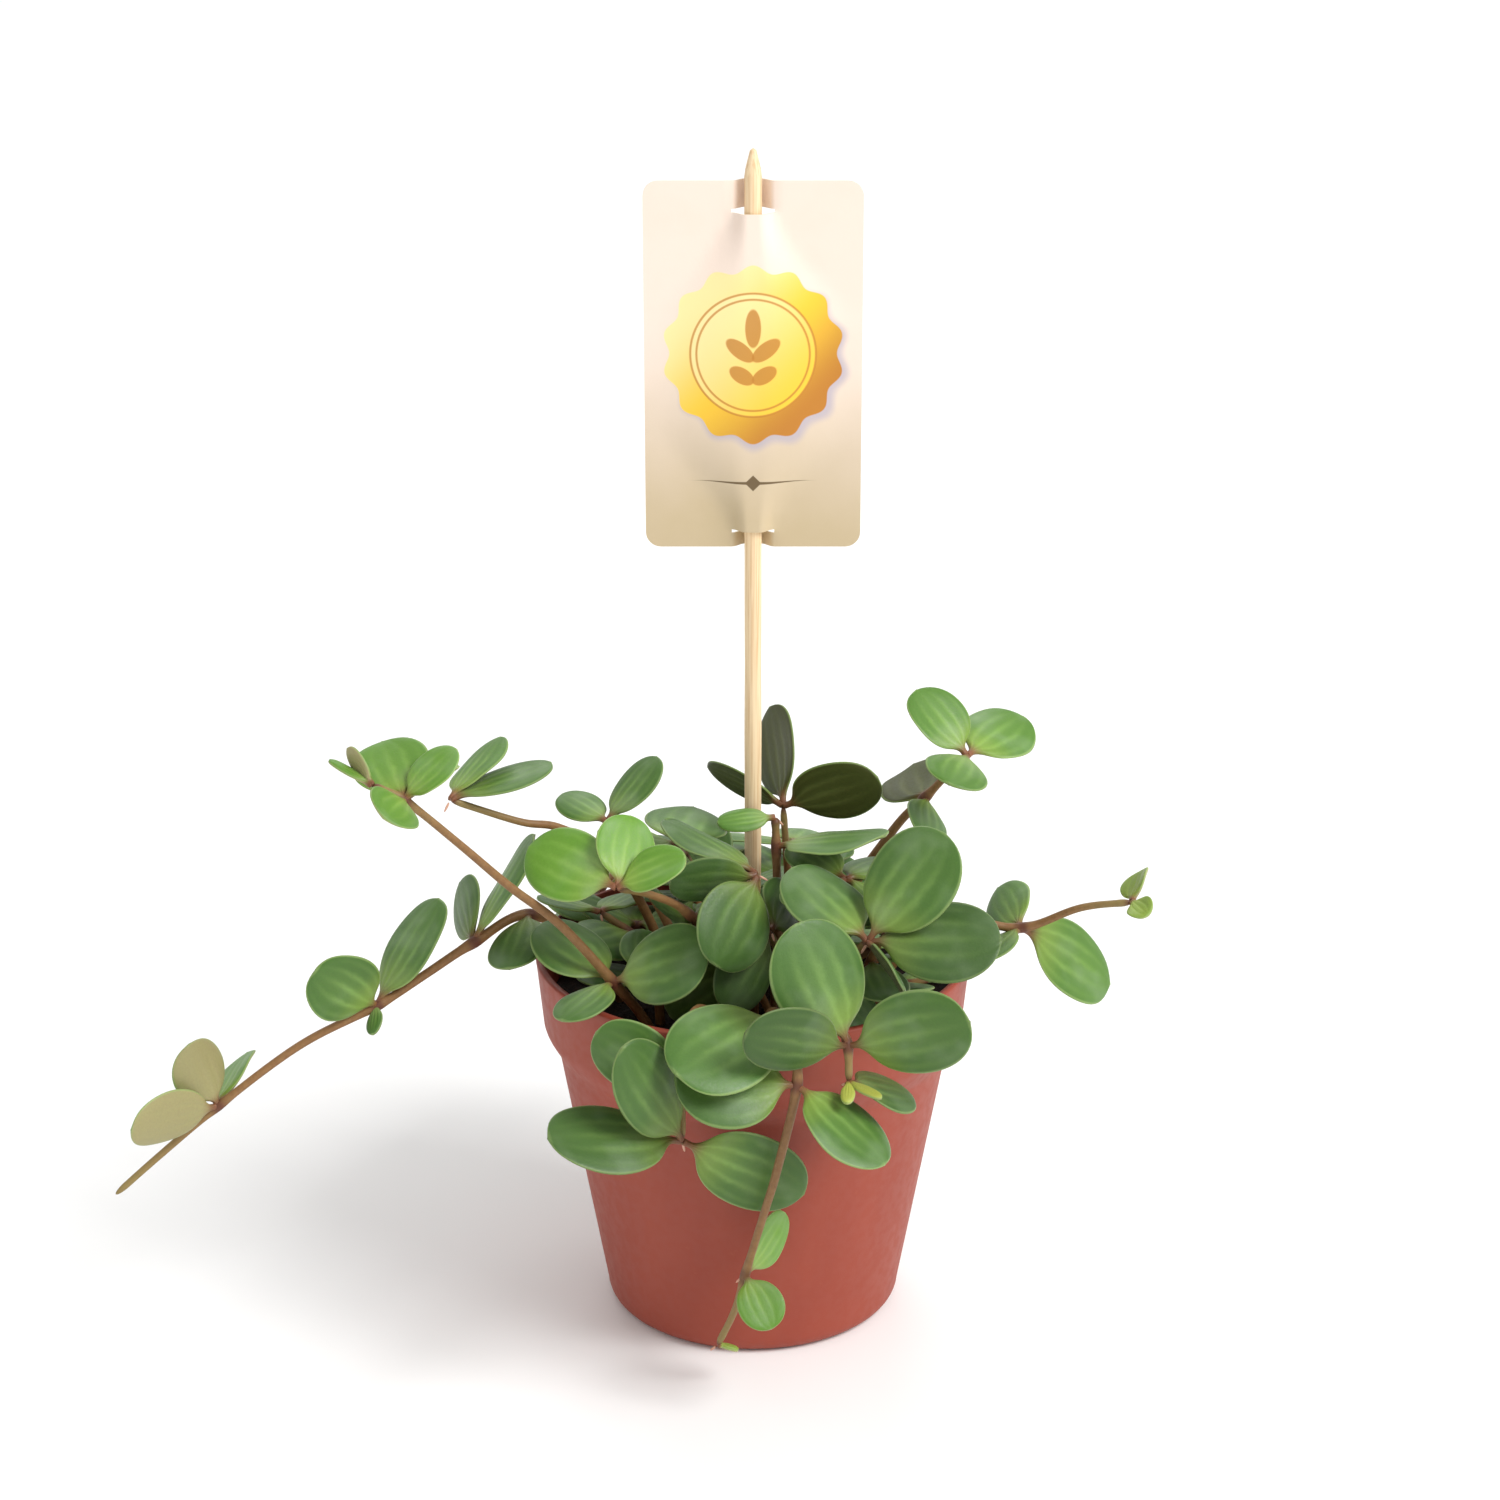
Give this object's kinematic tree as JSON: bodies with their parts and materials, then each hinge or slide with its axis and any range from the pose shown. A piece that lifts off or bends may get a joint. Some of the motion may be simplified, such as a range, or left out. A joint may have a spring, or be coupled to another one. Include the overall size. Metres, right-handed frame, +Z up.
{
  "type": "potted peperomia",
  "caption": "Trailing peperomia house plant with round fleshy leaves in a tapered plastic nursery pot of soil, with a decorated plant card slotted on a thin wooden stick.",
  "frame": {"origin": "centre of the pot's flat underside", "axes": "+Z up along the pot's axis and the stick; -Y towards the viewer, where the card's printed face looks; the longest stem trails towards -X"},
  "size_m": [0.2089, 0.1389, 0.2435],
  "materials": {
    "pot": "satin",
    "soil": "matte",
    "stick": "matte",
    "card": "satin",
    "plant": "satin"
  },
  "bodies": {
    "root": {"pot": "pot", "soil": "soil", "stick": "stick", "card": "card", "stem_before_stick": "plant", "stem_beside_stick": "plant", "stem_bright_left": "plant", "stem_centre": "plant", "stem_far_right": "plant", "stem_front_hanging": "plant", "stem_front_left": "plant", "stem_front_right": "plant", "stem_left_crown": "plant", "stem_long_left": "plant", "stem_low_middle": "plant", "stem_mid_left_crown": "plant", "stem_middle": "plant", "stem_right_crown": "plant", "stem_slim_left": "plant", "stem_upper_left": "plant", "stem_upper_right": "plant", "stem_bush_1": "plant", "stem_bush_2": "plant", "stem_bush_3": "plant", "stem_bush_4": "plant", "stem_bush_5": "plant", "stem_bush_6": "plant", "stem_bush_7": "plant", "stem_bush_8": "plant", "stem_bush_9": "plant", "stem_bush_10": "plant", "stem_bush_11": "plant", "stem_bush_12": "plant", "stem_bush_13": "plant", "stem_bush_14": "plant", "stem_bush_15": "plant", "stem_bush_16": "plant"}
  },
  "joints": []
}
